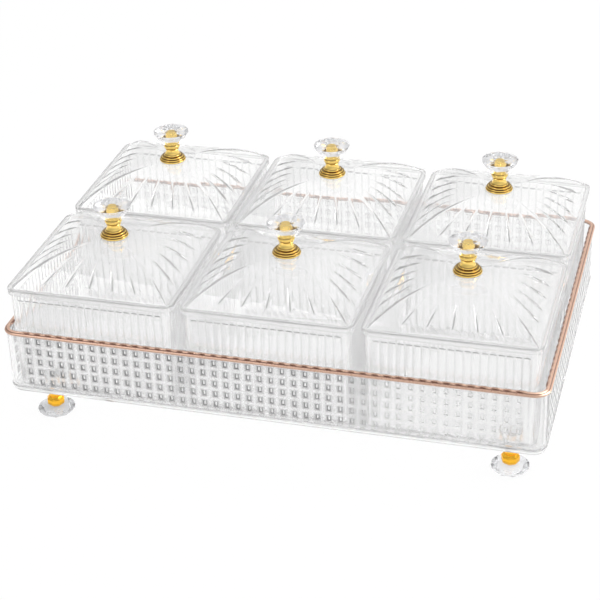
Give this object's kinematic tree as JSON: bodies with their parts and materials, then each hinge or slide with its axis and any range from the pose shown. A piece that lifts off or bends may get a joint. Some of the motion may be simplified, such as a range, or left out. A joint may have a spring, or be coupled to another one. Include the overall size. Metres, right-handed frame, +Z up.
{
  "type": "divided snack tray with lidded boxes",
  "caption": "Rectangular clear tray on cut-crystal feet, holding loose square boxes that each have a lift-off domed lid with a crystal knob.",
  "frame": {"origin": "centre of the footprint, on the surface that the feet stand on", "axes": "+X along the tray's length to the right, +Y to the back, +Z up"},
  "size_m": [0.415, 0.277, 0.1646],
  "materials": {
    "clear_tray": "clear moulded polystyrene, polished",
    "clear_box": "clear moulded PET, polished",
    "clear_lid": "clear moulded PET, polished",
    "rose_gold_rim": "hot-stamped rose-gold foil",
    "gold_plate": "gold plate on die-cast zinc, polished",
    "amber_gold_plate": "amber-gold plate on die-cast zinc, polished",
    "cut_crystal": "cut and polished",
    "screw_steel": "zinc-plated"
  },
  "bodies": {
    "tray_on_feet": {"tray": "clear_tray", "rim_band": "rose_gold_rim", "foot_collar_front_left": "amber_gold_plate", "foot_crystal_front_left": "cut_crystal", "foot_collar_front_right": "amber_gold_plate", "foot_crystal_front_right": "cut_crystal", "foot_collar_back_left": "amber_gold_plate", "foot_crystal_back_left": "cut_crystal", "foot_collar_back_right": "amber_gold_plate", "foot_crystal_back_right": "cut_crystal", "foot_screws": "screw_steel"},
    "front_left_box": {"box_front_left": "clear_box"},
    "front_left_lid": {"lid_front_left": "clear_lid", "knob_collar_front_left": "gold_plate", "knob_crystal_front_left": "cut_crystal", "knob_screw_front_left": "screw_steel"},
    "front_middle_box": {"box_front_middle": "clear_box"},
    "front_middle_lid": {"lid_front_middle": "clear_lid", "knob_collar_front_middle": "gold_plate", "knob_crystal_front_middle": "cut_crystal", "knob_screw_front_middle": "screw_steel"},
    "front_right_box": {"box_front_right": "clear_box"},
    "front_right_lid": {"lid_front_right": "clear_lid", "knob_collar_front_right": "gold_plate", "knob_crystal_front_right": "cut_crystal", "knob_screw_front_right": "screw_steel"},
    "back_left_box": {"box_back_left": "clear_box"},
    "back_left_lid": {"lid_back_left": "clear_lid", "knob_collar_back_left": "gold_plate", "knob_crystal_back_left": "cut_crystal", "knob_screw_back_left": "screw_steel"},
    "back_middle_box": {"box_back_middle": "clear_box"},
    "back_middle_lid": {"lid_back_middle": "clear_lid", "knob_collar_back_middle": "gold_plate", "knob_crystal_back_middle": "cut_crystal", "knob_screw_back_middle": "screw_steel"},
    "back_right_box": {"box_back_right": "clear_box"},
    "back_right_lid": {"lid_back_right": "clear_lid", "knob_collar_back_right": "gold_plate", "knob_crystal_back_right": "cut_crystal", "knob_screw_back_right": "screw_steel"}
  },
  "joints": [
    {"name": "front_left_box_lift", "type": "slide", "parent": "tray_on_feet", "child": "front_left_box", "axis": [0, 0, 1], "range_m": [0, 0.08]},
    {"name": "front_left_lid_lift", "type": "slide", "parent": "front_left_box", "child": "front_left_lid", "axis": [0, 0, 1], "range_m": [0, 0.1]},
    {"name": "front_middle_box_lift", "type": "slide", "parent": "tray_on_feet", "child": "front_middle_box", "axis": [0, 0, 1], "range_m": [0, 0.08]},
    {"name": "front_middle_lid_lift", "type": "slide", "parent": "front_middle_box", "child": "front_middle_lid", "axis": [0, 0, 1], "range_m": [0, 0.1]},
    {"name": "front_right_box_lift", "type": "slide", "parent": "tray_on_feet", "child": "front_right_box", "axis": [0, 0, 1], "range_m": [0, 0.08]},
    {"name": "front_right_lid_lift", "type": "slide", "parent": "front_right_box", "child": "front_right_lid", "axis": [0, 0, 1], "range_m": [0, 0.1]},
    {"name": "back_left_box_lift", "type": "slide", "parent": "tray_on_feet", "child": "back_left_box", "axis": [0, 0, 1], "range_m": [0, 0.08]},
    {"name": "back_left_lid_lift", "type": "slide", "parent": "back_left_box", "child": "back_left_lid", "axis": [0, 0, 1], "range_m": [0, 0.1]},
    {"name": "back_middle_box_lift", "type": "slide", "parent": "tray_on_feet", "child": "back_middle_box", "axis": [0, 0, 1], "range_m": [0, 0.08]},
    {"name": "back_middle_lid_lift", "type": "slide", "parent": "back_middle_box", "child": "back_middle_lid", "axis": [0, 0, 1], "range_m": [0, 0.1]},
    {"name": "back_right_box_lift", "type": "slide", "parent": "tray_on_feet", "child": "back_right_box", "axis": [0, 0, 1], "range_m": [0, 0.08]},
    {"name": "back_right_lid_lift", "type": "slide", "parent": "back_right_box", "child": "back_right_lid", "axis": [0, 0, 1], "range_m": [0, 0.1]}
  ]
}
